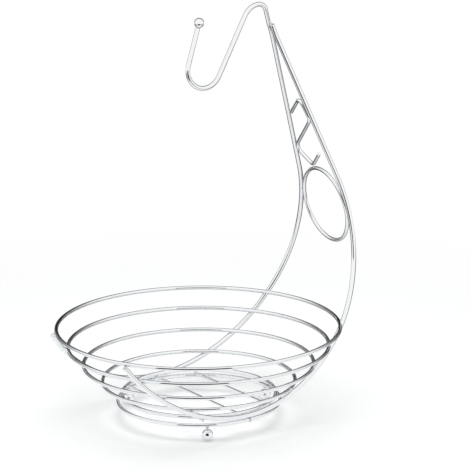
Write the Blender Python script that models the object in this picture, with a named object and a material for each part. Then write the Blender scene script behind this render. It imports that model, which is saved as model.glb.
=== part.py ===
"""Chrome wire fruit basket with a leaning tower and a hook for hanging fruit.

The bowl is five round wire rings that follow one arc of wall.  Two long frame wires carry them:
each starts at the front of the rim, runs under the rings, rests on the base ring, rises behind
the rim and leans forward until it meets the other.  The left one goes on over the crest and
becomes the hook.  Heights in the side view are measured from the rim, and +Y points from the
bowl towards the tower.
"""
import bmesh
import bpy
from math import acos, atan, atan2, cos, hypot, pi, radians, sin, sqrt
from mathutils import Vector

# Wire gauges, in metres
RING_WIRE = 0.0040
FRAME_WIRE = 0.0050
TRIM_WIRE = 0.0040
FLOOR_WIRE = 0.0030
WELD_GAP = 0.0003

# Bowl wall: one arc seen from the side, with the rings spread along it from the rim down
RIM_RADIUS = 0.148
WALL_ARC_RADIUS = 0.186
WALL_RIM_SLOPE = radians(62.4)
RING_NAMES = ("rim_ring", "upper_bowl_ring", "middle_bowl_ring", "lower_bowl_ring", "floor_ring")
RING_PLACE_SHARES = (0.0, 0.228, 0.483, 0.752, 1.0)
FLOOR_RING_INSET = 0.0020

# Frame wires and the tower that they form
FRAME_INSET = 0.0795
FRAME_WAIST = 0.0026
APEX_RISE = 0.302
APEX_BLEND = 0.008
SHOULDER_RADIUS = 0.160
LEAN_ANGLE = radians(20.4)

# Crest and hook
CREST_RUN = 0.0173
CREST_CORNER_RADIUS = 0.0095
CREST_RADIUS = 0.0194
CREST_TURN = radians(130.5)
DROP_LENGTH = 0.0678
HOOK_RADIUS = 0.0204
HOOK_TURN = radians(168.6)
TIP_LENGTH = 0.0386
HOOK_BALL = 0.0104

# Oval ring between the uprights, a little taller than it is wide
TOWER_RING_RISE = 0.118
TOWER_RING_LEAN = radians(13.0)
TOWER_RING_TALLNESS_SHARE = 1.12

# Scroll between the uprights, bent round four pegs from the bottom up
SCROLL_CLEARANCE = 0.0010
SCROLL_CORNER_RADIUS = 0.0045
SCROLL_BEND_RADIUS = 0.0085
SCROLL_LOWER_RISE = 0.0122
SCROLL_DIAGONAL_RISE = 0.0440
SCROLL_UPPER_RISE = 0.0140
SCROLL_HEAD_DROP = 0.0142
SCROLL_TAIL_LENGTH = 0.0215
SCROLL_TAIL_ANGLE = radians(43.0)
SCROLL_LOWER_SIDE_SHARE = -0.19
SCROLL_UPPER_SIDE_SHARE = 0.39

# Floor wires across the underside of the lowest bowl ring
FLOOR_WIRE_PITCH = 0.042
FLOOR_WIRE_OVERHANG = 0.0018

# Ball feet under the base ring
FOOT_BALL = 0.0125
FOOT_FLAT_RADIUS = 0.0020
FOOT_STUB_WIRE = 0.0040
FOOT_STUB_LENGTH = 0.0016
FRONT_FOOT_ANGLE = radians(118.1)

# Facets, and how far those of a bend may fall inside its true curve
RIM_FACETS = 96
FACET_STEP = 8
TOWER_RING_FACETS = 48
WIRE_FACETS = 8
CURVE_FACETS = 2
SECTION_STEPS = 44
APEX_STEPS = 4
BEND_SAG = 0.00006
TANGENT_STEP = radians(0.01)
BALL_FACETS = 20
PEG_LEFT = 1
PEG_RIGHT = -1

# Values worked out from the sizes above
RING_TO_FRAME = (RING_WIRE + FRAME_WIRE) / 2 + WELD_GAP
TRIM_TO_FRAME = (TRIM_WIRE + FRAME_WIRE) / 2 + WELD_GAP
HALF_PAIR = (FRAME_WIRE + WELD_GAP) / 2
FRAME_SPREAD = RIM_RADIUS - FRAME_INSET
SPREAD_SLOPE = (FRAME_SPREAD - HALF_PAIR) / APEX_RISE
WALL_CENTRE_RADIUS = RIM_RADIUS - WALL_ARC_RADIUS * sin(WALL_RIM_SLOPE)
WALL_CENTRE_HEIGHT = WALL_ARC_RADIUS * cos(WALL_RIM_SLOPE)


def spread(height):
    """Half the distance between the frame wires at a height above the rim.

    They lean together evenly, bow in a little between the rim and the apex, and end side by side.
    """
    straight = FRAME_SPREAD - SPREAD_SLOPE * height
    if height <= 0:
        return straight
    blend_start = APEX_RISE - APEX_BLEND
    if height <= blend_start:
        share = height / APEX_RISE
        return straight - 4 * FRAME_WAIST * share * (1 - share)
    left = max(0.0, 1 - (height - blend_start) / (2 * APEX_BLEND))
    return HALF_PAIR + (spread(blend_start) - HALF_PAIR) * left * left


def under_bowl(turn):
    """Distance behind the bowl's axis and height of a frame wire, at a turn from the side.

    The wire stays in its leaning plane and one gauge outside the wall's arc, so it is where a
    straight line in the upright plane at that turn cuts the arc of the wire.
    """
    arc = WALL_ARC_RADIUS + RING_TO_FRAME
    norm = hypot(cos(turn), SPREAD_SLOPE)
    along = (FRAME_SPREAD - WALL_CENTRE_RADIUS * cos(turn) - SPREAD_SLOPE * WALL_CENTRE_HEIGHT) / norm
    across = sqrt(arc * arc - along * along)
    radius = WALL_CENTRE_RADIUS + (along * cos(turn) + across * SPREAD_SLOPE) / norm
    height = WALL_CENTRE_HEIGHT + (along * SPREAD_SLOPE - across * cos(turn)) / norm
    return radius * sin(turn), height


def rim_turn():
    """Turn from the side at which a frame wire touches the rim."""
    arc = WALL_ARC_RADIUS + RING_TO_FRAME
    radius = WALL_CENTRE_RADIUS + arc * sin(WALL_RIM_SLOPE)
    height = WALL_CENTRE_HEIGHT - arc * cos(WALL_RIM_SLOPE)
    return acos(spread(height) / radius)


def bend_steps(radius, turn):
    """Number of facets that a bend needs."""
    return max(2, round(abs(turn) * sqrt(radius / (8 * BEND_SAG))))


def bend(points, heading, radius, end_heading):
    """Carry a side view on round a bend. A heading is measured from upright, backwards positive."""
    back, height = points[-1]
    side = 1 if end_heading > heading else -1
    centre = (back + side * radius * cos(heading), height - side * radius * sin(heading))
    steps = bend_steps(radius, end_heading - heading)
    for step in range(1, steps + 1):
        now = heading + (end_heading - heading) * step / steps
        points.append((centre[0] - side * radius * cos(now), centre[1] + side * radius * sin(now)))
    return end_heading


def run(points, heading, length):
    """Carry a side view on along a straight."""
    back, height = points[-1]
    points.append((back + length * sin(heading), height + length * cos(heading)))


def tower_side():
    """Side view of one frame wire from the front of the rim to the end of the shoulder."""
    limit = rim_turn()
    points = [under_bowl(limit * (2 * step / SECTION_STEPS - 1)) for step in range(SECTION_STEPS + 1)]
    before, after = under_bowl(limit - TANGENT_STEP), under_bowl(limit + TANGENT_STEP)
    bend(points, atan2(after[0] - before[0], after[1] - before[1]), SHOULDER_RADIUS, -LEAN_ANGLE)
    return points


SHOULDER_END = tower_side()[-1]


def lean_back(height):
    """Distance behind the axis of the straight uprights, at a height above the rim."""
    return SHOULDER_END[0] - (height - SHOULDER_END[1]) * sin(LEAN_ANGLE) / cos(LEAN_ANGLE)


def upright_points(side):
    """Frame wire from the front of the rim up to the apex, in the bowl's frame."""
    points = tower_side()
    for step in range(APEX_STEPS + 1):
        height = APEX_RISE - APEX_BLEND + 2 * APEX_BLEND * step / APEX_STEPS
        points.append((lean_back(height), height))
    return [Vector((side * spread(height), back, height)) for back, height in points]


def hook_points():
    """Centre line of the hook in the bowl's frame, and its heading at the tip.

    It starts where the right wire ends beside it, moves over to the middle below the crest, and
    goes over the crest by a tight corner and a wider arc.
    """
    height = APEX_RISE + APEX_BLEND
    side = [(lean_back(height), height)]
    run(side, -LEAN_ANGLE, CREST_RUN)
    heading = bend(side, -LEAN_ANGLE, CREST_CORNER_RADIUS, -pi / 2)
    heading = bend(side, heading, CREST_RADIUS, -LEAN_ANGLE - CREST_TURN)
    run(side, heading, DROP_LENGTH)
    heading = bend(side, heading, HOOK_RADIUS, heading + HOOK_TURN)
    run(side, heading, TIP_LENGTH)
    return [Vector((0, back, height)) for back, height in side[1:]], heading


def base_ring_place():
    """Radius and height of the base ring: straight below the lowest point of the frame wires."""
    height = under_bowl(0)[1]
    return spread(height), height - RING_TO_FRAME


def ring_place(share):
    """Radius and height of the bowl ring at a share of the wall's length below the rim.

    The wall ends at the floor ring, a little further in than the frame wires' lowest points.
    """
    height = under_bowl(0)[1]
    seat = atan2(spread(height) - WALL_CENTRE_RADIUS, WALL_CENTRE_HEIGHT - height)
    turn = WALL_RIM_SLOPE - seat + FLOOR_RING_INSET / WALL_ARC_RADIUS
    slope = WALL_RIM_SLOPE - share * turn
    radius = WALL_CENTRE_RADIUS + WALL_ARC_RADIUS * sin(slope)
    height = WALL_CENTRE_HEIGHT - WALL_ARC_RADIUS * cos(slope)
    return radius, height


def foot_ball_centre():
    """Height of a foot ball's centre above the table, on its small flat."""
    return sqrt((FOOT_BALL / 2) ** 2 - FOOT_FLAT_RADIUS ** 2)


def rim_height():
    """Height of the rim above the table: the feet, the base ring and the bowl stacked up."""
    stack = foot_ball_centre() + FOOT_BALL / 2 + WELD_GAP + FOOT_STUB_LENGTH + WELD_GAP + RING_WIRE / 2
    return stack - base_ring_place()[1]


def tower_ring_place():
    """Half width, centre and upward direction of the oval that touches both uprights."""
    points = upright_points(1)
    upper = next(i for i, point in enumerate(points) if point.z > TOWER_RING_RISE)
    low, high = points[upper - 1], points[upper]
    touch = low.lerp(high, (TOWER_RING_RISE - low.z) / (high.z - low.z))
    along = (high - low).normalized()
    upward = hypot(along.y, along.z)
    tall = TOWER_RING_TALLNESS_SHARE
    stretch = hypot(upward, tall * along.x)
    half_width = stretch * (touch.x / upward - TRIM_TO_FRAME)
    below = -along.x * (TRIM_TO_FRAME + tall * tall * half_width / stretch)
    up = Vector((0, -sin(TOWER_RING_LEAN), cos(TOWER_RING_LEAN)))
    return half_width, Vector((0, touch.y, touch.z)) - up * below, up


def tower_ring_points():
    """Centre line of the oval ring in the tower, in the bowl's frame."""
    half_width, centre, up = tower_ring_place()
    across = Vector((half_width, 0, 0))
    upward = up * half_width * TOWER_RING_TALLNESS_SHARE
    turns = [2 * pi * step / TOWER_RING_FACETS for step in range(TOWER_RING_FACETS)]
    return [centre + across * cos(turn) + upward * sin(turn) for turn in turns]


def front_reach():
    """Distance from the bowl's axis to the front of the rim."""
    return RIM_RADIUS + RING_WIRE / 2


def rear_reach():
    """Distance from the bowl's axis to the back of the tower."""
    frame = max(back for back, height in tower_side()) + FRAME_WIRE / 2
    ring = max(point.y for point in tower_ring_points()) + TRIM_WIRE / 2
    return max(frame, ring)


def peg_side(peg):
    """Upright plane in the scroll's own view: half the clear width at a peg's height."""
    return spread(peg * cos(LEAN_ANGLE))


def scroll_pegs():
    """Pegs that the scroll is bent round, in the plane of the straight uprights, from the top down."""
    half_width, centre, up = tower_ring_place()
    ring_top = centre.z + (half_width * TOWER_RING_TALLNESS_SHARE + TRIM_WIRE / 2) * up.z
    foot = (ring_top + SCROLL_CLEARANCE) / cos(LEAN_ANGLE) + TRIM_WIRE / 2 + SCROLL_CORNER_RADIUS
    left = foot + SCROLL_LOWER_RISE
    right = left + SCROLL_DIAGONAL_RISE
    head = right + SCROLL_UPPER_RISE
    start = head - SCROLL_HEAD_DROP
    taper = cos(atan(SPREAD_SLOPE * cos(LEAN_ANGLE)))
    touch = (SCROLL_BEND_RADIUS + TRIM_TO_FRAME) / taper
    tail = Vector((peg_side(foot) * SCROLL_LOWER_SIDE_SHARE, foot))
    tip = Vector((cos(SCROLL_TAIL_ANGLE), sin(SCROLL_TAIL_ANGLE))) * SCROLL_TAIL_LENGTH
    tip += Vector((sin(SCROLL_TAIL_ANGLE), -cos(SCROLL_TAIL_ANGLE))) * SCROLL_CORNER_RADIUS
    return [
        (Vector((TRIM_TO_FRAME / taper - peg_side(start), start)), 0, PEG_RIGHT),
        (Vector((peg_side(head) * SCROLL_UPPER_SIDE_SHARE, head)), SCROLL_CORNER_RADIUS, PEG_RIGHT),
        (Vector((peg_side(right) - touch, right)), SCROLL_BEND_RADIUS, PEG_RIGHT),
        (Vector((touch - peg_side(left), left)), SCROLL_BEND_RADIUS, PEG_LEFT),
        (tail, SCROLL_CORNER_RADIUS, PEG_LEFT),
        (tail + tip, 0, PEG_LEFT),
    ]


def leave_angle(peg, following):
    """Direction of the straight that is tangent to one peg and the next."""
    gap = following[0] - peg[0]
    shift = peg[2] * peg[1] - following[2] * following[1]
    return atan2(gap.y, gap.x) + atan2(shift, sqrt(gap.length_squared - shift * shift))


def scroll_points():
    """Centre line of the scroll, in the bowl's frame."""
    pegs = scroll_pegs()
    angles = [leave_angle(peg, following) for peg, following in zip(pegs, pegs[1:])]
    flat = [pegs[0][0]]
    for (centre, radius, side), arrive, leave in zip(pegs[1:-1], angles, angles[1:]):
        turn = side * ((side * (leave - arrive)) % (2 * pi))
        steps = bend_steps(radius, turn)
        for step in range(steps + 1):
            now = arrive + turn * step / steps
            flat.append(centre + Vector((sin(now), -cos(now))) * side * radius)
    flat.append(pegs[-1][0])
    upward = cos(LEAN_ANGLE)
    return [Vector((across, lean_back(up * upward), up * upward)) for across, up in flat]


def chrome(name):
    """Bright chrome plate over drawn steel wire."""
    material = bpy.data.materials.new(name + "_chrome")
    material.use_nodes = True
    shader = material.node_tree.nodes["Principled BSDF"]
    shader.inputs["Base Color"].default_value = (0.60, 0.62, 0.64, 1.0)
    shader.inputs["Metallic"].default_value = 1.0
    shader.inputs["Roughness"].default_value = 0.12
    material.diffuse_color = (0.60, 0.62, 0.64, 1.0)
    return material


def keep(thing, collection, holder):
    """File an object under the basket, hang it on the holder and give it its own material."""
    for other in thing.users_collection:
        other.objects.unlink(thing)
    collection.objects.link(thing)
    thing.parent = holder
    thing.data.materials.clear()
    thing.data.materials.append(chrome(thing.name))


def smooth(thing):
    """Shade a round piece smooth, with its flat ends left sharp."""
    thing.data.shade_smooth()
    thing.data.set_sharp_from_angle(angle=radians(50.0))


def wire_ring(name, radius, gauge, facets, collection, holder):
    """Closed ring of round wire, level and centred on the holder."""
    bpy.ops.mesh.primitive_torus_add(
        major_segments=facets, minor_segments=WIRE_FACETS, major_radius=radius, minor_radius=gauge / 2)
    ring = bpy.context.object
    ring.name = name
    smooth(ring)
    keep(ring, collection, holder)
    return ring


def bent_wire(name, points, gauge, collection, holder, closed=False):
    """Round wire along a list of points, with flat cut ends or closed on itself."""
    curve = bpy.data.curves.new(name, "CURVE")
    curve.dimensions = "3D"
    curve.bevel_depth = gauge / 2
    curve.bevel_resolution = CURVE_FACETS
    curve.use_fill_caps = True
    spline = curve.splines.new("POLY")
    spline.points.add(len(points) - 1)
    spline.use_cyclic_u = closed
    for spot, point in zip(spline.points, points):
        spot.co = (*point, 1.0)
    wire = bpy.data.objects.new(name, curve)
    keep(wire, collection, holder)
    return wire


def ball(name, diameter, collection, holder, flat_radius=0.0):
    """Polished ball, with a small flat ground on its underside where it stands on something."""
    mesh = bpy.data.meshes.new(name)
    shape = bmesh.new()
    bmesh.ops.create_uvsphere(
        shape, u_segments=BALL_FACETS, v_segments=BALL_FACETS // 2, radius=diameter / 2)
    if flat_radius > 0:
        depth = sqrt((diameter / 2) ** 2 - flat_radius ** 2)
        everything = shape.verts[:] + shape.edges[:] + shape.faces[:]
        bmesh.ops.bisect_plane(
            shape, geom=everything, plane_co=(0, 0, -depth), plane_no=(0, 0, 1), clear_inner=True)
        rim = [edge for edge in shape.edges if edge.is_boundary]
        bmesh.ops.holes_fill(shape, edges=rim)
    bmesh.ops.recalc_face_normals(shape, faces=shape.faces)
    shape.to_mesh(mesh)
    shape.free()
    thing = bpy.data.objects.new(name, mesh)
    smooth(thing)
    keep(thing, collection, holder)
    return thing


def make_bowl(collection, holder):
    """Rim, the rings of the wall, and the base ring that the frame wires rest on."""
    for index, (name, share) in enumerate(zip(RING_NAMES, RING_PLACE_SHARES)):
        radius, height = ring_place(share)
        ring = wire_ring(name, radius, RING_WIRE, RIM_FACETS - index * FACET_STEP, collection, holder)
        ring.location.z = height
    radius, height = base_ring_place()
    base = wire_ring("base_ring", radius, RING_WIRE, RIM_FACETS - 4 * FACET_STEP, collection, holder)
    base.location.z = height


def make_floor(collection, holder):
    """Three straight wires across the underside of the lowest bowl ring, which keep the fruit in.

    The middle one reaches across to both frame wires at their lowest points.
    """
    radius, height = ring_place(1.0)
    level = height - (RING_WIRE + FLOOR_WIRE) / 2 - WELD_GAP
    chord = sqrt(radius * radius - FLOOR_WIRE_PITCH * FLOOR_WIRE_PITCH) + FLOOR_WIRE_OVERHANG
    middle = base_ring_place()[0] - FRAME_WIRE / 2 - WELD_GAP
    for name, place, half in (("front", -1, chord), ("middle", 0, middle), ("rear", 1, chord)):
        back = place * FLOOR_WIRE_PITCH
        ends = [Vector((-half, back, level)), Vector((half, back, level))]
        bent_wire(f"{name}_floor_wire", ends, FLOOR_WIRE, collection, holder)


def make_frame(collection, holder):
    """Left and right frame wires, with the hook on the left one, and the ball on its tip."""
    hook, heading = hook_points()
    left = upright_points(-1) + hook
    bent_wire("left_frame_wire", left, FRAME_WIRE, collection, holder)
    bent_wire("right_frame_wire", upright_points(1), FRAME_WIRE, collection, holder)
    tip = ball("hook_ball", HOOK_BALL, collection, holder)
    reach = HOOK_BALL / 2 + WELD_GAP
    tip.location = left[-1] + Vector((0, sin(heading), cos(heading))) * reach


def make_tower_trim(collection, holder):
    """Oval ring and bent scroll that brace the two uprights."""
    bent_wire("tower_ring", tower_ring_points(), TRIM_WIRE, collection, holder, closed=True)
    bent_wire("tower_scroll", scroll_points(), TRIM_WIRE, collection, holder)


def make_feet(collection, holder):
    """Three ball feet on short studs under the base ring, one of them below the tower."""
    radius, height = base_ring_place()
    top = height - RING_WIRE / 2 - WELD_GAP
    foot = top - FOOT_STUB_LENGTH
    places = (("rear", 0.0), ("front_left", -FRONT_FOOT_ANGLE), ("front_right", FRONT_FOOT_ANGLE))
    for name, angle in places:
        across, back = radius * sin(angle), radius * cos(angle)
        ends = [Vector((across, back, foot)), Vector((across, back, top))]
        bent_wire(f"{name}_foot_stud", ends, FOOT_STUB_WIRE, collection, holder)
        thing = ball(f"{name}_foot_ball", FOOT_BALL, collection, holder, FOOT_FLAT_RADIUS)
        thing.location = (across, back, foot - WELD_GAP - FOOT_BALL / 2)


def main():
    for thing in list(bpy.data.objects):
        bpy.data.objects.remove(thing, do_unlink=True)
    collection = bpy.data.collections.new("fruit_basket_with_hanger")
    bpy.context.scene.collection.children.link(collection)
    holder = bpy.data.objects.new("centre_of_rim", None)
    collection.objects.link(holder)
    holder.location = (0, (front_reach() - rear_reach()) / 2, rim_height())
    make_bowl(collection, holder)
    make_floor(collection, holder)
    make_frame(collection, holder)
    make_tower_trim(collection, holder)
    make_feet(collection, holder)


main()
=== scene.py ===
"""Chrome wire fruit basket with a hook for hanging fruit, dressed for its picture.

Every wire is drawn again at full roundness along the centre line of its solid in the frame, with
dressed ends, the small beads of its welds, and a chrome plate that shows the studio round it.
"""
from math import atan2, cos, hypot, pi, radians, sin

import bmesh
import bpy
from bpy.props import FloatProperty, FloatVectorProperty, IntProperty, PointerProperty
from bpy.types import Operator, Panel, PropertyGroup
from mathutils import Matrix, Vector, noise
from mathutils.geometry import interpolate_bezier
from mathutils.kdtree import KDTree


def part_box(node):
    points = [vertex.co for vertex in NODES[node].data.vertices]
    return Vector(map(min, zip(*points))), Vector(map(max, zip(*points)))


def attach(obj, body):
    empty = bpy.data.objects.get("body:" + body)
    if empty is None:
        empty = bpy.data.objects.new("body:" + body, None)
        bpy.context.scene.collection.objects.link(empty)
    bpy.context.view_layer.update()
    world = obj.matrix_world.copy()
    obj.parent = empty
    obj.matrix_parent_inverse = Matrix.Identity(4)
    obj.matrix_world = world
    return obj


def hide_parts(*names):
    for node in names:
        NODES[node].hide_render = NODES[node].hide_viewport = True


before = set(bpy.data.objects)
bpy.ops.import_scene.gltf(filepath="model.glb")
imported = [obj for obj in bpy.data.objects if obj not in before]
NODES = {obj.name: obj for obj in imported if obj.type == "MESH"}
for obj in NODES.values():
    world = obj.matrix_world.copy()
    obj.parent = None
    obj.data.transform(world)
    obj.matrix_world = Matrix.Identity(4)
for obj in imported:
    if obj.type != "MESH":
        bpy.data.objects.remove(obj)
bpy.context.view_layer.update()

bl_info = {
    "name": "Fruit basket with hanging hook",
    "version": (1, 0, 0),
    "blender": (4, 5, 0),
    "location": "View3D > Sidebar > Basket",
    "description": "Chrome wire fruit basket with a leaning tower and a hook",
    "category": "Object",
}

BOWL_RINGS = (
    "rim_ring", "upper_bowl_ring", "middle_bowl_ring", "lower_bowl_ring", "floor_ring", "base_ring")
FLOOR_WIRES = ("front_floor_wire", "middle_floor_wire", "rear_floor_wire")
FRAME_WIRES = ("left_frame_wire", "right_frame_wire")
FEET = ("rear", "front_left", "front_right")

MILLIMETRE = 0.001

# How the solids are read: points closer than this are one, and a sharper edge bounds a cut end
MERGE_DISTANCE = 1e-6
CAP_ANGLE = radians(60.0)

# Steps in the rounding of a cut end, and faces round a weld and round the curved wall
END_STEPS = 4
WELD_FACETS = 20
WALL_FACETS = 96

# Camera of the photograph: where it stands, how it is turned, and its long lens
CAMERA_PLACE = (2.5142, -1.6958, 1.0061)
CAMERA_AZIMUTH = radians(55.466)
CAMERA_TILT = radians(15.007)
CAMERA_ROLL = radians(-0.33)
CAMERA_LENS_MM = 231.9
CAMERA_SENSOR_MM = 36.0

# Directions on the stage: up, straight behind the basket, and to the middle of the dark net
UPWARD = (0.0, 0.0, 1.0)
BEHIND = (-sin(CAMERA_AZIMUTH), cos(CAMERA_AZIMUTH), 0.0)
DOORWAY_AZIMUTH = CAMERA_AZIMUTH - radians(5.0)
DOORWAY = (-sin(DOORWAY_AZIMUTH), cos(DOORWAY_AZIMUTH), 0.0)

# Finish of the plate on each kind of surface: its least and greatest roughness, the distance
# between the waves of its ripple and their depth, both in millimetres
FINISHES = {
    "chrome_on_drawn_wire": (0.03, 0.08, 3.0, 0.004),
    "chrome_on_turned_ball": (0.02, 0.05, 2.0, 0.002),
    "chrome_on_weld_bead": (0.12, 0.26, 0.8, 0.02),
}
RIPPLE_DETAIL = 2.0

# Haze that dulls the plate in places: the distance between its patches in millimetres, their
# detail, and the levels of the pattern between which it comes in
HAZE_MM = 9.0
HAZE_DETAIL = 3.0
HAZE_LOW, HAZE_HIGH = 0.35, 0.7


def linear(hex_colour):
    """Linear colour of an sRGB hex value."""
    values = [int(hex_colour[place:place + 2], 16) / 255 for place in (1, 3, 5)]
    return tuple(v / 12.92 if v <= 0.04045 else ((v + 0.055) / 1.055) ** 2.4 for v in values)


class BasketWireSizes(PropertyGroup):
    """Sizes of the wires that the frame doesn't give."""
    facets: IntProperty(
        name="Wire facets", description="Faces round each wire", default=24, min=8, max=64)
    step: FloatProperty(
        name="Step", description="Length of wire between two sections", default=0.0015,
        unit="LENGTH")
    trim_gauge: FloatProperty(
        name="Trim gauge", description="Thickness of the wire of the ring in the tower",
        default=0.004, unit="LENGTH")
    end_rounding: FloatProperty(
        name="End rounding", description="Radius of the tumbled edge of a cut end",
        default=0.0007, unit="LENGTH")
    ball_facets: IntProperty(
        name="Ball facets", description="Faces round each ball", default=48, min=12, max=96)


class BasketWeldSizes(PropertyGroup):
    """Sizes of the beads, collars and joints where wires are welded."""
    reach: FloatProperty(
        name="Reach", description="Widest gap between two wires that are welded",
        default=0.0008, unit="LENGTH")
    contact_step: FloatProperty(
        name="Contact step", description="Step along the wires when their contacts are looked for",
        default=0.000375, unit="LENGTH")
    length: FloatProperty(
        name="Bead length", description="Length of a bead along the wires",
        default=0.0042, unit="LENGTH")
    width: FloatProperty(
        name="Bead width", description="Width of a bead across the wires",
        default=0.0032, unit="LENGTH")
    height: FloatProperty(
        name="Bead height", description="Thickness of a bead from wire to wire",
        default=0.0019, unit="LENGTH")
    roughness: FloatProperty(
        name="Bead unevenness", description="How far the skin of a bead wanders",
        default=0.00012, unit="LENGTH")
    gap: FloatProperty(
        name="Gap", description="Gap that a collar closes", default=0.0003, unit="LENGTH")
    collar: FloatProperty(
        name="Collar length", description="Length of the weld at a ball, a stud or a joint",
        default=0.0018, unit="LENGTH")
    collar_share: FloatProperty(
        name="Collar width", description="Radius of a collar as a share of the wire's",
        default=0.98)
    joint_share: FloatProperty(
        name="Joint width", description="Radius of the upper ring's joint as a share of the wire's",
        default=1.1)
    joint_angle: FloatProperty(
        name="Joint angle", description="Where the upper ring's ends are butt welded, from +X",
        default=radians(104), subtype="ANGLE")
    base_joint_angle: FloatProperty(
        name="Base joint angle", description="Where the base ring's ends are butt welded, from +X",
        default=radians(3.5), subtype="ANGLE")
    lip_share: FloatProperty(
        name="Lip width", description="Radius of the base ring's two lips as a share of the wire's",
        default=1.35)
    lip_length: FloatProperty(
        name="Lip length", description="Thickness of a lip along the ring", default=0.0009,
        unit="LENGTH")
    lip_spread: FloatProperty(
        name="Lip spread", description="Distance between the two lips", default=0.0018,
        unit="LENGTH")


class BasketColours(PropertyGroup):
    """Colours of the plate and of the studio."""
    chrome: FloatVectorProperty(
        name="Chrome", description="Bright chrome plate", subtype="COLOR", size=3,
        default=linear("#F3F5F7"), min=0, max=1)
    bead: FloatVectorProperty(
        name="Weld bead", description="Chrome plate over weld metal", subtype="COLOR", size=3,
        default=linear("#D2D5D8"), min=0, max=1)
    floor: FloatVectorProperty(
        name="Floor", description="Pale paper sweep", subtype="COLOR", size=3,
        default=linear("#F2F3F3"), min=0, max=1)
    card: FloatVectorProperty(
        name="Black card", description="Black card that draws the edges of bright metal",
        subtype="COLOR", size=3, default=linear("#1C1D1F"), min=0, max=1)


class BasketStudioSizes(PropertyGroup):
    """Sizes and levels of the studio."""
    floor_size: FloatProperty(
        name="Floor size", description="Width of the paper sweep", default=12.0, unit="LENGTH")
    floor_glow: FloatProperty(
        name="Floor glow", description="How much of the floor's white is its own", default=0.24,
        min=0, max=1, subtype="FACTOR")
    shadow_reach: FloatProperty(
        name="Shadow reach", description="Distance to which the floor shows its full shadow",
        default=0.4, unit="LENGTH")
    shadow_end: FloatProperty(
        name="Shadow end", description="Distance from which the floor is plain white",
        default=0.8, unit="LENGTH")
    ambient: FloatProperty(
        name="Ambient", description="Light from the white room, as a share of its white",
        default=0.35, min=0, max=1, subtype="FACTOR")
    softbox_size: FloatProperty(
        name="Softbox", description="Width of the softbox overhead", default=1.6, unit="LENGTH")
    softbox_height: FloatProperty(
        name="Softbox height", description="Height of the softbox", default=1.7, unit="LENGTH")
    softbox_power: FloatProperty(
        name="Softbox power", description="Power of the softbox", default=20.0, unit="POWER")
    card_turn: FloatProperty(
        name="Card turn", description="How far the black card stands to the left of the camera",
        default=radians(3.5), subtype="ANGLE")
    card_distance: FloatProperty(
        name="Card distance", description="Distance of the black card from the basket's middle",
        default=0.4, unit="LENGTH")
    card_width: FloatProperty(
        name="Card width", description="Width of the black card", default=0.36, unit="LENGTH")
    card_height: FloatProperty(
        name="Card height", description="Height of the black card, which stands on the floor",
        default=0.31, unit="LENGTH")
    wall_distance: FloatProperty(
        name="Wall distance", description="Radius of the grey net behind the basket", default=4.0,
        unit="LENGTH")
    wall: FloatProperty(
        name="Wall", description="Share of the white that the grey net lets through", default=0.15,
        min=0, max=1, subtype="FACTOR")
    wall_full: FloatProperty(
        name="Wall angle", description="Half the angle over which the grey net is full",
        default=radians(40), subtype="ANGLE")
    wall_fade: FloatProperty(
        name="Wall fade", description="Angle at which the grey net ends",
        default=radians(80), subtype="ANGLE")
    dark: FloatProperty(
        name="Dark", description="Share of the white that the dark net lets through", default=0.08,
        min=0, max=1, subtype="FACTOR")
    door: FloatProperty(
        name="Doorway", description="Half the angle over which the dark net is full",
        default=radians(20), subtype="ANGLE")
    door_fade: FloatProperty(
        name="Doorway fade", description="Angle at which the dark net ends",
        default=radians(40), subtype="ANGLE")
    # The floor net sizes below place painted shade on the floor, a dark sheet that only the metal
    # sees
    net_height: FloatProperty(
        name="Net height", description="Height of the floor nets over the paper", default=0.0002,
        unit="LENGTH")
    near_floor: FloatProperty(
        name="Bright floor", description="Distance behind at which the dark floor net starts",
        default=-0.02, unit="LENGTH")
    far_floor: FloatProperty(
        name="Dark floor", description="Distance behind at which the dark floor net is full",
        default=0.34, unit="LENGTH")
    net_end: FloatProperty(
        name="Dark floor end", description="Distance behind at which the dark floor net thins",
        default=0.6, unit="LENGTH")
    beyond: FloatProperty(
        name="Floor beyond", description="Distance behind at which the dark floor net has ended",
        default=1.15, unit="LENGTH")
    outer_near: FloatProperty(
        name="Outer floor start", description="Distance at which the grey floor net starts",
        default=0.15, unit="LENGTH")
    outer_far: FloatProperty(
        name="Outer floor full", description="Distance at which the grey floor net is full",
        default=0.55, unit="LENGTH")
    outer_floor: FloatProperty(
        name="Outer floor", description="Share of the white that the grey floor net lets through",
        default=0.5, min=0, max=1, subtype="FACTOR")
    outer_end: FloatProperty(
        name="Outer floor end", description="Distance at which the grey floor net thins",
        default=0.8, unit="LENGTH")
    outer_beyond: FloatProperty(
        name="Outer floor beyond", description="Distance at which the grey floor net has ended",
        default=1.4, unit="LENGTH")


def add_node(tree, kind, settings=None, inputs=None, links=None):
    """Add a node, set its properties and sockets, and link sockets from other nodes' outputs."""
    node = tree.nodes.new(kind)
    for name, value in (settings or {}).items():
        setattr(node, name, value)
    for name, value in (inputs or {}).items():
        node.inputs[name].default_value = value
    for name, output in (links or {}).items():
        tree.links.new(output, node.inputs[name])
    return node


def empty_tree(owner):
    """Node tree of a new material or world, with nothing in it."""
    owner.use_nodes = True
    owner.node_tree.nodes.clear()
    return owner.node_tree


def pattern_scale(size_mm):
    """Noise scale for a pattern whose features are a size apart."""
    return 1 / (size_mm * MILLIMETRE)


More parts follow.
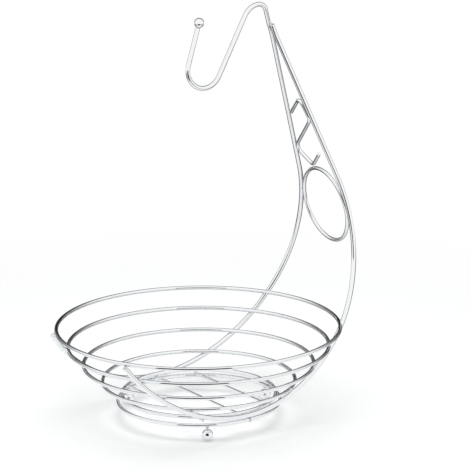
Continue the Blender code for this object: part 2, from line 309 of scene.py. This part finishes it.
def chrome_plate(name, colour):
    """Bright nickel and chrome plate over steel that was polished before it was plated.

    The eye gets a hard mirror with a slow ripple from the polishing and a faint haze in places,
    and over weld metal a duller skin with a coarser ripple.
    """
    smoothest, roughest, ripple_mm, ripple_depth = FINISHES[name]
    material = bpy.data.materials.new(name)
    tree = empty_tree(material)
    place = add_node(tree, "ShaderNodeTexCoord").outputs["Object"]
    haze = add_node(
        tree, "ShaderNodeTexNoise", inputs={"Scale": pattern_scale(HAZE_MM), "Detail": HAZE_DETAIL},
        links={"Vector": place})
    gloss = add_node(
        tree, "ShaderNodeMapRange",
        inputs={"From Min": HAZE_LOW, "From Max": HAZE_HIGH,
                "To Min": smoothest, "To Max": roughest},
        links={"Value": haze.outputs["Fac"]})
    ripple = add_node(
        tree, "ShaderNodeTexNoise",
        inputs={"Scale": pattern_scale(ripple_mm), "Detail": RIPPLE_DETAIL},
        links={"Vector": place})
    bump = add_node(
        tree, "ShaderNodeBump",
        inputs={"Strength": 1.0, "Distance": ripple_depth * MILLIMETRE},
        links={"Height": ripple.outputs["Fac"]})
    shader = add_node(
        tree, "ShaderNodeBsdfPrincipled",
        inputs={"Base Color": (*colour, 1.0), "Metallic": 1.0},
        links={"Roughness": gloss.outputs["Result"], "Normal": bump.outputs["Normal"]})
    add_node(tree, "ShaderNodeOutputMaterial", links={"Surface": shader.outputs["BSDF"]})
    return material


def plate(context, name):
    """Material of a wire, a ball or a weld bead, made once."""
    colours = context.scene.basket_colours
    colour = colours.bead if name == "chrome_on_weld_bead" else colours.chrome
    return bpy.data.materials.get(name) or chrome_plate(name, colour)


def finish_piece(name, shape, material, node=None):
    """Make an object of a finished mesh, which rides on the basket and may stand for a node."""
    bmesh.ops.recalc_face_normals(shape, faces=shape.faces)
    for face in shape.faces:
        face.smooth = True
    mesh = bpy.data.meshes.new(name)
    shape.to_mesh(mesh)
    shape.free()
    mesh.materials.append(material)
    piece = bpy.data.objects.new(name, mesh)
    bpy.context.scene.collection.objects.link(piece)
    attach(piece, "root")
    if node:
        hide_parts(node)


def level_ring(node_name):
    """Centre, radius and gauge of a level ring, from the box of its node."""
    low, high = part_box(node_name)
    gauge = high.z - low.z
    return (low + high) / 2, (high.x - low.x - gauge) / 2, gauge


def oval_ring(node_name, gauge):
    """Centre, half width, half height and backward lean of an upright oval ring."""
    low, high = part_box(node_name)
    size = high - low - Vector((gauge, gauge, gauge))
    return (low + high) / 2, size.x / 2, hypot(size.y, size.z) / 2, atan2(size.y, size.z)


def end_section(shape):
    """Vertices of one flat end of a wire: its edge is the only sharp one."""
    sharp = [edge for edge in shape.edges if edge.calc_face_angle(0) > CAP_ANGLE]
    found = [sharp[0].verts[0]]
    for vertex in found:
        for edge in vertex.link_edges:
            other = edge.other_vert(vertex)
            if edge in sharp and other not in found:
                found.append(other)
    return found


def wire_sections(node_name):
    """Centres of the sections of a cut wire's solid from end to end, and the wire's radius."""
    shape = bmesh.new()
    shape.from_mesh(NODES[node_name].data)
    bmesh.ops.remove_doubles(shape, verts=shape.verts, dist=MERGE_DISTANCE)
    layer = end_section(shape)
    seen = set(layer)
    centres = []
    radius = 0.0
    while layer:
        centre = sum((vertex.co for vertex in layer), Vector()) / len(layer)
        radius = max(radius, min((vertex.co - centre).length for vertex in layer))
        centres.append(centre)
        beyond = []
        for vertex in layer:
            for edge in vertex.link_edges:
                other = edge.other_vert(vertex)
                if other not in seen:
                    seen.add(other)
                    beyond.append(other)
        layer = beyond
    shape.free()
    return centres, radius


def line_headings(line, closed=False):
    """Direction of a line at each of its points."""
    last = len(line) - 1
    headings = []
    for place in range(last + 1):
        after = (place + 1) % (last + 1) if closed else min(place + 1, last)
        before = place - 1 if closed else max(place - 1, 0)
        headings.append((line[after] - line[before]).normalized())
    return headings


def smooth_line(points, step):
    """Points about a step apart on the smooth curve through the sections of a wire."""
    headings = line_headings(points)
    line = [points[0]]
    for place in range(len(points) - 1):
        start, end = points[place], points[place + 1]
        length = (end - start).length
        leave = start + headings[place] * (length / 3)
        arrive = end - headings[place + 1] * (length / 3)
        count = max(2, round(length / step) + 1)
        line += interpolate_bezier(start, leave, arrive, end, count)[1:]
    return line


def round_line(centre, across, upward, step):
    """Closed line round an oval whose two half axes are given."""
    count = round(2 * pi * max(across.length, upward.length) / step)
    turns = [2 * pi * place / count for place in range(count)]
    return [centre + across * cos(turn) + upward * sin(turn) for turn in turns]


def rounded_end(end, heading, inward, radius, rounding):
    """Places, headings and radii of a wire's sections from the flat of a cut end to full width."""
    turns = [pi / 2 * place / END_STEPS for place in range(END_STEPS + 1)]
    return [(end + inward * rounding * (1 - cos(turn)), heading,
             radius - rounding * (1 - sin(turn))) for turn in turns]


def rounded_ends(line, radius, rounding):
    """Places, headings and radii of a wire's sections, drawn in at both cut ends."""
    headings = line_headings(line)
    stations = [(point, heading, radius) for point, heading in zip(line, headings)]
    start = rounded_end(line[0], headings[0], headings[0], radius, rounding)
    end = rounded_end(line[-1], headings[-1], -headings[-1], radius, rounding)
    return start + stations[1:-1] + end[::-1]


def sweep(shape, stations, facets, closed=False):
    """Carry a round section along its stations in a new mesh, without twist, and close the ends."""
    point, heading, radius = stations[0]
    turn = heading.to_track_quat("Z", "Y")
    matrix = Matrix.LocRotScale(point, turn, Vector((radius, radius, radius)))
    bmesh.ops.create_circle(shape, segments=facets, radius=1.0, matrix=matrix)
    first = edges = shape.edges[:]
    for point, following, radius in stations[1:]:
        turn = heading.rotation_difference(following) @ turn
        heading = following
        target = Matrix.LocRotScale(point, turn, Vector((radius, radius, radius)))
        made = bmesh.ops.extrude_edge_only(shape, edges=edges)["geom"]
        moved = [item for item in made if isinstance(item, bmesh.types.BMVert)]
        edges = [item for item in made if isinstance(item, bmesh.types.BMEdge)]
        bmesh.ops.transform(shape, matrix=target @ matrix.inverted(), verts=moved)
        matrix = target
    if closed:
        bmesh.ops.bridge_loops(shape, edges=first + edges)
    else:
        bmesh.ops.contextual_create(shape, geom=first)
        bmesh.ops.contextual_create(shape, geom=edges)


def cut_wire(context, node_name):
    """Round wire with tumbled ends, along the centre line of its solid."""
    sizes = context.scene.basket_wires
    sections, radius = wire_sections(node_name)
    line = smooth_line(sections, sizes.step)
    shape = bmesh.new()
    sweep(shape, rounded_ends(line, radius, sizes.end_rounding), sizes.facets)
    finish_piece(
        node_name + "_piece", shape, plate(context, "chrome_on_drawn_wire"), node_name)


class BASKET_OT_bowl_rings(Operator):
    """Make the rim, the four rings below it and the ring that the feet are on"""
    bl_idname = "basket.bowl_rings"
    bl_label = "Bowl rings"

    def execute(self, context):
        sizes = context.scene.basket_wires
        for name in BOWL_RINGS:
            centre, radius, gauge = level_ring(name)
            shape = bmesh.new()
            stand = Matrix.Translation((radius, 0, 0)) @ Matrix.Rotation(pi / 2, 4, "X")
            bmesh.ops.create_circle(shape, segments=sizes.facets, radius=gauge / 2, matrix=stand)
            bmesh.ops.spin(
                shape, geom=shape.verts[:] + shape.edges[:], cent=(0, 0, 0), axis=UPWARD,
                angle=2 * pi, steps=round(2 * pi * radius / sizes.step), use_merge=True)
            bmesh.ops.translate(shape, vec=centre, verts=shape.verts)
            finish_piece(
                name + "_piece", shape, plate(context, "chrome_on_drawn_wire"), name)
        return {"FINISHED"}


class BASKET_OT_floor_wires(Operator):
    """Make the straight wires across the floor of the bowl"""
    bl_idname = "basket.floor_wires"
    bl_label = "Floor wires"

    def execute(self, context):
        for name in FLOOR_WIRES:
            cut_wire(context, name)
        return {"FINISHED"}


class BASKET_OT_frame_wires(Operator):
    """Make the two long wires under the bowl and up the tower, the left one with its hook"""
    bl_idname = "basket.frame_wires"
    bl_label = "Frame wires"

    def execute(self, context):
        for name in FRAME_WIRES:
            cut_wire(context, name)
        return {"FINISHED"}


def tower_ring_line(gauge, step):
    """Closed centre line of the oval ring in the tower."""
    centre, half_width, half_height, lean = oval_ring("tower_ring", gauge)
    across = Vector((half_width, 0, 0))
    upward = Vector((0, -sin(lean), cos(lean))) * half_height
    return round_line(centre, across, upward, step)


class BASKET_OT_tower_ring(Operator):
    """Make the oval ring between the uprights"""
    bl_idname = "basket.tower_ring"
    bl_label = "Tower ring"

    def execute(self, context):
        sizes = context.scene.basket_wires
        line = tower_ring_line(sizes.trim_gauge, sizes.step)
        headings = line_headings(line, closed=True)
        radius = sizes.trim_gauge / 2
        shape = bmesh.new()
        stations = [(point, heading, radius) for point, heading in zip(line, headings)]
        sweep(shape, stations, sizes.facets, closed=True)
        finish_piece(
            "tower_ring_piece", shape, plate(context, "chrome_on_drawn_wire"),
            "tower_ring")
        return {"FINISHED"}


class BASKET_OT_tower_scroll(Operator):
    """Make the bent scroll between the uprights"""
    bl_idname = "basket.tower_scroll"
    bl_label = "Tower scroll"

    def execute(self, context):
        cut_wire(context, "tower_scroll")
        return {"FINISHED"}


def keep_beyond(shape, normal, distance):
    """Cut away what lies short of a plane at a distance along its normal."""
    bmesh.ops.bisect_plane(
        shape, geom=shape.verts[:] + shape.edges[:] + shape.faces[:],
        plane_co=Vector(normal) * distance, plane_no=normal, clear_inner=True)


def ball_shape(facets, centre, radius, flat=None):
    """Polished ball, ground flat at a height if one is given."""
    shape = bmesh.new()
    bmesh.ops.create_uvsphere(
        shape, u_segments=facets, v_segments=facets // 2, radius=radius,
        matrix=Matrix.Translation(centre))
    if flat is not None:
        keep_beyond(shape, UPWARD, flat)
        rim = [edge for edge in shape.edges if edge.is_boundary]
        bmesh.ops.holes_fill(shape, edges=rim)
    return shape


class BASKET_OT_hook_ball(Operator):
    """Make the ball on the tip of the hook"""
    bl_idname = "basket.hook_ball"
    bl_label = "Hook ball"

    def execute(self, context):
        low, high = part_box("hook_ball")
        shape = ball_shape(
            context.scene.basket_wires.ball_facets, (low + high) / 2, (high.x - low.x) / 2)
        finish_piece(
            "hook_ball_piece", shape, plate(context, "chrome_on_turned_ball"),
            "hook_ball")
        return {"FINISHED"}


class BASKET_OT_feet(Operator):
    """Make the ball feet and their studs"""
    bl_idname = "basket.feet"
    bl_label = "Ball feet"

    def execute(self, context):
        facets = context.scene.basket_wires.ball_facets
        for foot in FEET:
            cut_wire(context, foot + "_foot_stud")
            name = foot + "_foot_ball"
            low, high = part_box(name)
            radius = (high.x - low.x) / 2
            centre = Vector(((low.x + high.x) / 2, (low.y + high.y) / 2, high.z - radius))
            shape = ball_shape(facets, centre, radius, low.z)
            finish_piece(
                name + "_piece", shape, plate(context, "chrome_on_turned_ball"), name)
        return {"FINISHED"}


def wire_lines(sizes, step):
    """Centre line and radius of every wire, for finding where they touch."""
    lines = {}
    for name in BOWL_RINGS:
        centre, radius, gauge = level_ring(name)
        line = round_line(centre, Vector((radius, 0, 0)), Vector((0, radius, 0)), step)
        lines[name] = (line, gauge / 2)
    for name in FLOOR_WIRES + FRAME_WIRES + ("tower_scroll",):
        sections, radius = wire_sections(name)
        lines[name] = (smooth_line(sections, step), radius)
    lines["tower_ring"] = (tower_ring_line(sizes.trim_gauge, step), sizes.trim_gauge / 2)
    return lines


def contacts(first, second, reach):
    """Pairs of points where two lines come closest, one pair for each stretch within reach."""
    tree = KDTree(len(second))
    for place, point in enumerate(second):
        tree.insert(point, place)
    tree.balance()
    found, best = [], None
    for place, point in enumerate(first):
        near, other, distance = tree.find(point)
        if distance < reach and (best is None or distance < best[0]):
            best = (distance, place, other)
        elif distance >= reach and best is not None:
            found.append(best)
            best = None
    return found + ([best] if best else [])


def bead_matrix(first, second, across, middle, size):
    """Place of a bead between two wires: long along both, and thin from one to the other."""
    normal = across.normalized()
    along = first + second if first.dot(second) > 0 else first - second
    along = (along - normal * along.dot(normal)).normalized()
    turn = Matrix((along, normal.cross(along), normal)).transposed().to_quaternion()
    return Matrix.LocRotScale(middle, turn, size / 2)


def add_weld(shape, matrix):
    """Add a rounded lump of weld metal: a ball of radius one, stretched to its place."""
    bmesh.ops.create_uvsphere(
        shape, u_segments=WELD_FACETS, v_segments=WELD_FACETS // 2, radius=1.0, matrix=matrix)


def add_beads(shape, first, second, gap, size):
    """Add a bead at each contact of two wires, and count them."""
    (line, radius), (other_line, other_radius) = first, second
    found = contacts(line, other_line, radius + other_radius + gap)
    headings, other_headings = line_headings(line), line_headings(other_line)
    for distance, place, other in found:
        across = other_line[other] - line[place]
        middle = line[place] + across * ((distance + radius - other_radius) / (2 * distance))
        add_weld(shape, bead_matrix(headings[place], other_headings[other], across, middle, size))
    return len(found)


def collars(welds):
    """Places, headings and radii of the collars at the balls and the studs."""
    sections, radius = wire_sections("left_frame_wire")
    if sections[0].z > sections[-1].z:
        sections.reverse()
    ends = [(sections[-1], sections[-2], radius)]
    for foot in FEET:
        sections, radius = wire_sections(foot + "_foot_stud")
        ends += [(sections[0], sections[-1], radius), (sections[-1], sections[0], radius)]
    found = []
    for end, before, radius in ends:
        heading = (end - before).normalized()
        found.append((end + heading * welds.gap / 2, heading, radius * welds.collar_share))
    return found


def ring_joint(node_name, turn, share):
    """Place, heading and radius of the joint in a ring."""
    centre, radius, gauge = level_ring(node_name)
    place = centre + Vector((cos(turn), sin(turn), 0)) * radius
    return place, Vector((-sin(turn), cos(turn), 0)), gauge / 2 * share


class BASKET_OT_weld_beads(Operator):
    """Make the beads, collars and joints where the wires are welded"""
    bl_idname = "basket.weld_beads"
    bl_label = "Weld beads"

    def execute(self, context):
        sizes, welds = context.scene.basket_wires, context.scene.basket_welds
        lines = wire_lines(sizes, welds.contact_step)
        names = list(lines)
        shape = bmesh.new()
        bead = Vector((welds.length, welds.width, welds.height))
        count = 0
        for index, name in enumerate(names):
            for other in names[index + 1:]:
                count += add_beads(shape, lines[name], lines[other], welds.reach, bead)
        if count == 0:
            raise RuntimeError("no two wires touch, so there is nothing to weld")
        lumps = [(*collar, welds.collar) for collar in collars(welds)]
        joint = ring_joint("upper_bowl_ring", welds.joint_angle, welds.joint_share)
        lumps.append((*joint, welds.collar))
        place, heading, radius = ring_joint("base_ring", welds.base_joint_angle, welds.lip_share)
        for offset in (-welds.lip_spread / 2, welds.lip_spread / 2):
            lumps.append((place + heading * offset, heading, radius, welds.lip_length))
        for place, heading, radius, length in lumps:
            size = Vector((radius, radius, length / 2))
            add_weld(shape, Matrix.LocRotScale(place, heading.to_track_quat("Z", "Y"), size))
        for vertex in shape.verts:
            vertex.co += noise.noise_vector(vertex.co / MILLIMETRE) * welds.roughness
        finish_piece("weld_beads", shape, plate(context, "chrome_on_weld_bead"))
        return {"FINISHED"}


def level_over(tree, place, ends, levels, direction=None):
    """Level that changes smoothly from one distance to another.

    The distance is measured along a direction, or else from the basket's middle.
    """
    operation, inputs = ("DOT_PRODUCT", {1: direction}) if direction else ("LENGTH", {})
    distance = add_node(
        tree, "ShaderNodeVectorMath", {"operation": operation}, inputs=inputs, links={0: place})
    return add_node(
        tree, "ShaderNodeMapRange", {"interpolation_type": "SMOOTHSTEP"},
        inputs={"From Min": ends[0], "From Max": ends[1], "To Min": levels[0], "To Max": levels[1]},
        links={"Value": distance.outputs["Value"]}).outputs["Result"]


def combined(tree, operation, levels):
    """Levels brought together by an operation: multiplied, or the highest of them."""
    total = levels[0]
    for level in levels[1:]:
        total = add_node(
            tree, "ShaderNodeMath", {"operation": operation}, links={0: total, 1: level}).outputs[0]
    return total


def seen_rays(tree):
    """One for rays from the eye, a mirror or glass, and nought for light that falls on things."""
    path = add_node(tree, "ShaderNodeLightPath")
    kinds = ("Is Camera Ray", "Is Glossy Ray", "Is Transmission Ray")
    return combined(tree, "MAXIMUM", [path.outputs[kind] for kind in kinds])


def white_room(context):
    """World that is plain white to the eye and to metal, and a soft light on matt things."""
    world = bpy.data.worlds.new("white_room")
    context.scene.world = world
    tree = empty_tree(world)
    level = add_node(
        tree, "ShaderNodeMix", {"data_type": "FLOAT"},
        inputs={"A": context.scene.basket_studio.ambient, "B": 1.0},
        links={"Factor": seen_rays(tree)})
    light = add_node(
        tree, "ShaderNodeBackground", inputs={"Color": (1.0, 1.0, 1.0, 1.0)},
        links={"Strength": level.outputs["Result"]})
    add_node(tree, "ShaderNodeOutputWorld", links={"Surface": light.outputs[0]})


def paper_floor(context):
    """Matt paper sweep that keeps the basket's shadow and runs out into the white of the room."""
    studio = context.scene.basket_studio
    material = bpy.data.materials.new("matt_paper")
    tree = empty_tree(material)
    seen = seen_rays(tree)
    paper = add_node(
        tree, "ShaderNodeBsdfDiffuse", inputs={"Color": (*context.scene.basket_colours.floor, 1.0)})
    glow = add_node(
        tree, "ShaderNodeMath", {"operation": "MULTIPLY"}, inputs={1: studio.floor_glow},
        links={0: seen})
    own = add_node(tree, "ShaderNodeEmission", links={"Strength": glow.outputs[0]})
    lit = add_node(tree, "ShaderNodeAddShader", links={0: paper.outputs[0], 1: own.outputs[0]})
    white = add_node(tree, "ShaderNodeEmission", links={"Strength": seen})
    place = add_node(tree, "ShaderNodeTexCoord").outputs["Object"]
    away = level_over(tree, place, (studio.shadow_reach, studio.shadow_end), (0, 1))
    surface = add_node(
        tree, "ShaderNodeMixShader", links={0: away, 1: lit.outputs[0], 2: white.outputs[0]})
    add_node(tree, "ShaderNodeOutputMaterial", links={"Surface": surface.outputs[0]})
    return material


def stage_thing(name, shape, material):
    """Object of the studio, which isn't part of the basket."""
    mesh = bpy.data.meshes.new(name)
    shape.to_mesh(mesh)
    shape.free()
    mesh.materials.append(material)
    thing = bpy.data.objects.new(name, mesh)
    bpy.context.scene.collection.objects.link(thing)
    return thing


def rectangle(width, height, matrix):
    """Flat rectangle at a place."""
    shape = bmesh.new()
    stretch = Matrix.Diagonal((width, height, 1.0, 1.0))
    bmesh.ops.create_grid(shape, x_segments=1, y_segments=1, size=0.5, matrix=matrix @ stretch)
    return shape


def around(azimuth, distance, height):
    """Upright place at an azimuth round the basket, facing it."""
    place = Vector((sin(azimuth) * distance, -cos(azimuth) * distance, height))
    turn = (-Vector((place.x, place.y, 0))).to_track_quat("-Z", "Y")
    return Matrix.LocRotScale(place, turn, Vector((1, 1, 1)))


def net_on_wall(tree, studio):
    """White that gets through the nets on the wall: least in the middle behind the basket."""
    place = add_node(tree, "ShaderNodeTexCoord").outputs["Object"]
    heading = add_node(
        tree, "ShaderNodeVectorMath", {"operation": "NORMALIZE"}, links={0: place}).outputs[0]
    # How far a heading reaches along a direction is the cosine of the angle between them
    wall_ends = cos(studio.wall_fade), cos(studio.wall_full)
    door_ends = cos(studio.door_fade), cos(studio.door)
    wall = level_over(tree, heading, wall_ends, (1, studio.wall), BEHIND)
    door = level_over(tree, heading, door_ends, (1, studio.dark), DOORWAY)
    return combined(tree, "MULTIPLY", (wall, door))


def painted_floor_shade(tree, studio):
    """White that gets through the painted shade on the floor, which only metal sees: least some way
    behind the basket, and less in a grey ring round it.
    """
    place = add_node(tree, "ShaderNodeTexCoord").outputs["Object"]
    back = level_over(
        tree, place, (studio.near_floor, studio.far_floor), (1, studio.dark), BEHIND)
    beyond = level_over(tree, place, (studio.net_end, studio.beyond), (0, 1), BEHIND)
    outer = level_over(tree, place, (studio.outer_near, studio.outer_far), (1, studio.outer_floor))
    outermost = level_over(tree, place, (studio.outer_end, studio.outer_beyond), (0, 1))
    dark = combined(tree, "MAXIMUM", (back, beyond))
    grey = combined(tree, "MAXIMUM", (outer, outermost))
    return combined(tree, "MULTIPLY", (dark, grey))


def black_card(context, name, shape, net=None):
    """Black card, or a net of it that lets some white through, which only metal sees."""
    material = bpy.data.materials.new(name)
    tree = empty_tree(material)
    card = add_node(
        tree, "ShaderNodeEmission", inputs={"Color": (*context.scene.basket_colours.card, 1.0)})
    surface = card
    if net:
        white = net(tree, context.scene.basket_studio)
        clear = add_node(tree, "ShaderNodeBsdfTransparent")
        surface = add_node(
            tree, "ShaderNodeMixShader",
            links={0: white, 1: card.outputs[0], 2: clear.outputs[0]})
    add_node(tree, "ShaderNodeOutputMaterial", links={"Surface": surface.outputs[0]})
    thing = stage_thing(name, shape, material)
    thing.visible_camera = False
    thing.visible_diffuse = False
    thing.visible_shadow = False


def back_wall(studio):
    """Curved wall behind the basket, as far round as its net reaches."""
    shape = bmesh.new()
    bmesh.ops.create_uvsphere(
        shape, u_segments=WALL_FACETS, v_segments=WALL_FACETS // 2, radius=studio.wall_distance)
    keep_beyond(shape, UPWARD, 0.0)
    keep_beyond(shape, BEHIND, cos(studio.wall_fade) * studio.wall_distance)
    return shape


def front_card(studio):
    """Card that stands on the floor between the basket and the camera."""
    azimuth = CAMERA_AZIMUTH - studio.card_turn
    stand = around(azimuth, studio.card_distance, studio.card_height / 2)
    return rectangle(studio.card_width, studio.card_height, stand)


def softbox(studio):
    """Square softbox overhead, which faces the floor."""
    lamp = bpy.data.lights.new("softbox", "AREA")
    lamp.shape = "SQUARE"
    lamp.size = studio.softbox_size
    lamp.energy = studio.softbox_power
    thing = bpy.data.objects.new("softbox", lamp)
    thing.location = (0.0, 0.0, studio.softbox_height)
    thing.visible_glossy = False
    bpy.context.scene.collection.objects.link(thing)


def camera_of_photograph(context):
    """Camera at the photograph's viewing angle."""
    data = bpy.data.cameras.new("camera")
    data.lens = CAMERA_LENS_MM
    data.sensor_width = CAMERA_SENSOR_MM
    camera = bpy.data.objects.new("camera", data)
    camera.matrix_world = (
        Matrix.Translation(CAMERA_PLACE)
        @ Matrix.Rotation(CAMERA_AZIMUTH, 4, "Z")
        @ Matrix.Rotation(pi / 2 - CAMERA_TILT, 4, "X")
        @ Matrix.Rotation(CAMERA_ROLL, 4, "Z"))
    context.scene.collection.objects.link(camera)
    context.scene.camera = camera


class BASKET_OT_stage(Operator):
    """Make the camera, the white room, the floor, the black card, the nets, one of which is painted
    shade on the floor for the metal, and the softbox
    """
    bl_idname = "basket.stage"
    bl_label = "Studio"

    def execute(self, context):
        studio = context.scene.basket_studio
        context.scene.view_settings.view_transform = "Standard"
        camera_of_photograph(context)
        white_room(context)
        floor = rectangle(studio.floor_size, studio.floor_size, Matrix.Identity(4))
        stage_thing("floor", floor, paper_floor(context))
        black_card(context, "front_card", front_card(studio))
        black_card(context, "wall_net", back_wall(studio), net_on_wall)
        # Painted shade: a dark sheet just over the floor, darkest some way behind the basket, which
        # only the metal sees
        above = Matrix.Translation((0, 0, studio.net_height))
        runner = rectangle(studio.floor_size, studio.floor_size, above)
        black_card(context, "painted_floor_shade_sheet", runner, painted_floor_shade)
        softbox(studio)
        return {"FINISHED"}


OPERATORS = (
    BASKET_OT_bowl_rings, BASKET_OT_floor_wires, BASKET_OT_frame_wires, BASKET_OT_tower_ring,
    BASKET_OT_tower_scroll, BASKET_OT_hook_ball, BASKET_OT_feet, BASKET_OT_weld_beads,
    BASKET_OT_stage,
)
GROUPS = {
    "basket_wires": BasketWireSizes,
    "basket_welds": BasketWeldSizes,
    "basket_colours": BasketColours,
    "basket_studio": BasketStudioSizes,
}


class BASKET_PT_panel(Panel):
    """Sizes and steps of the fruit basket"""
    bl_idname = "BASKET_PT_panel"
    bl_label = "Fruit basket"
    bl_space_type = "VIEW_3D"
    bl_region_type = "UI"
    bl_category = "Basket"

    def draw(self, context):
        for name in GROUPS:
            group = getattr(context.scene, name)
            box = self.layout.box()
            for value in group.__annotations__:
                box.prop(group, value)
        for operator in OPERATORS:
            self.layout.operator(operator.bl_idname)


def register():
    """Register every class and hang the sizes and colours on the scene."""
    for kind in (*GROUPS.values(), *OPERATORS, BASKET_PT_panel):
        bpy.utils.register_class(kind)
    for name, group in GROUPS.items():
        setattr(bpy.types.Scene, name, PointerProperty(type=group))


def unregister():
    """Take the sizes and colours off the scene and unregister every class."""
    for name in GROUPS:
        delattr(bpy.types.Scene, name)
    for kind in reversed((*GROUPS.values(), *OPERATORS, BASKET_PT_panel)):
        bpy.utils.unregister_class(kind)


def main():
    """Make the basket and its studio."""
    register()
    for operator in OPERATORS:
        group, name = operator.bl_idname.split(".")
        getattr(getattr(bpy.ops, group), name)()


if __name__ == "__main__":
    main()
